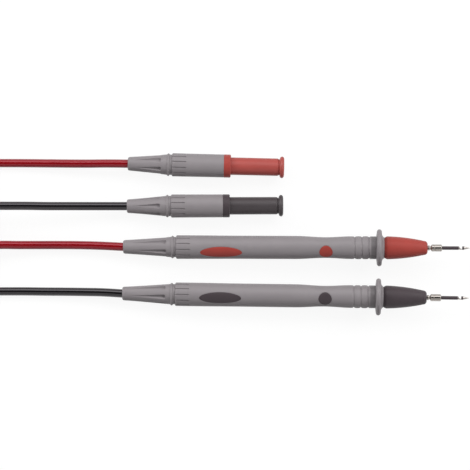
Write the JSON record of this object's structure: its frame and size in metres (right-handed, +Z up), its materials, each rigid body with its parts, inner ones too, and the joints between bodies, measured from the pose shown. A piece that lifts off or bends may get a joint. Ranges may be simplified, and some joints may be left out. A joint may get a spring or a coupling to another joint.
{
  "type": "multimeter test lead pair",
  "caption": "Pair of flexible test leads, red and black, each with a shrouded spring-sheath pin plug at one end and a hand probe with finger guard, nose cone and steel needle at the other.",
  "frame": {"origin": "bottom centre of the box round the two plugs and the two probes, on the table they lie on; the free cables are left out", "axes": "+X along the probes from cable to needle, +Y from the probes towards the plugs, +Z up from the table"},
  "size_m": [0.3342, 0.0757, 0.0166],
  "materials": {
    "grey_elastomer": "satin moulded thermoplastic elastomer",
    "red_plastic": "fine moulded texture",
    "black_plastic": "fine moulded texture",
    "red_sheath_plastic": "satin",
    "black_sheath_plastic": "satin",
    "spring_steel": "drawn wire",
    "nickel_plate": "bright nickel plating over turned brass",
    "contact_brass": "turned or rolled",
    "copper_strand": "fine tinned or bare strands",
    "red_cable": "glossy silicone jacket",
    "black_cable": "glossy silicone jacket"
  },
  "bodies": {
    "leads": {"red_plug_boot": "grey_elastomer", "red_plug_body": "grey_elastomer", "red_plug_collar": "red_plastic", "red_plug_spring": "spring_steel", "red_plug_pin": "nickel_plate", "red_plug_lantern": "contact_brass", "red_plug_jacket": "red_cable", "red_plug_conductor": "copper_strand", "red_probe_boot": "grey_elastomer", "red_probe_grip": "grey_elastomer", "red_probe_core": "red_plastic", "red_probe_guard": "grey_elastomer", "red_probe_nose": "red_plastic", "red_probe_needle": "nickel_plate", "red_probe_rod": "contact_brass", "red_probe_jacket": "red_cable", "red_probe_conductor": "copper_strand", "red_cable_plug": "red_cable", "red_cable_coil": "red_cable", "red_cable_probe": "red_cable", "black_plug_boot": "grey_elastomer", "black_plug_body": "grey_elastomer", "black_plug_collar": "black_plastic", "black_plug_spring": "spring_steel", "black_plug_pin": "nickel_plate", "black_plug_lantern": "contact_brass", "black_plug_jacket": "black_cable", "black_plug_conductor": "copper_strand", "black_probe_boot": "grey_elastomer", "black_probe_grip": "grey_elastomer", "black_probe_core": "black_plastic", "black_probe_guard": "grey_elastomer", "black_probe_nose": "black_plastic", "black_probe_needle": "nickel_plate", "black_probe_rod": "contact_brass", "black_probe_jacket": "black_cable", "black_probe_conductor": "copper_strand", "black_cable_plug": "black_cable", "black_cable_coil": "black_cable", "black_cable_probe": "black_cable"},
    "red_sheath": {"red_plug_sheath": "red_sheath_plastic"},
    "black_sheath": {"black_plug_sheath": "black_sheath_plastic"}
  },
  "joints": [
    {"name": "red_sheath_slide", "type": "slide", "parent": "leads", "child": "red_sheath", "axis": [-0.9997, 0.0234, 0], "range_m": [0, 0.0148], "stiffness_N_per_m": 100, "springref_m": -0.004, "deforming": ["red_plug_spring"]},
    {"name": "black_sheath_slide", "type": "slide", "parent": "leads", "child": "black_sheath", "axis": [-1, -0.0033, 0], "range_m": [0, 0.0148], "stiffness_N_per_m": 100, "springref_m": -0.004, "deforming": ["black_plug_spring"]}
  ]
}
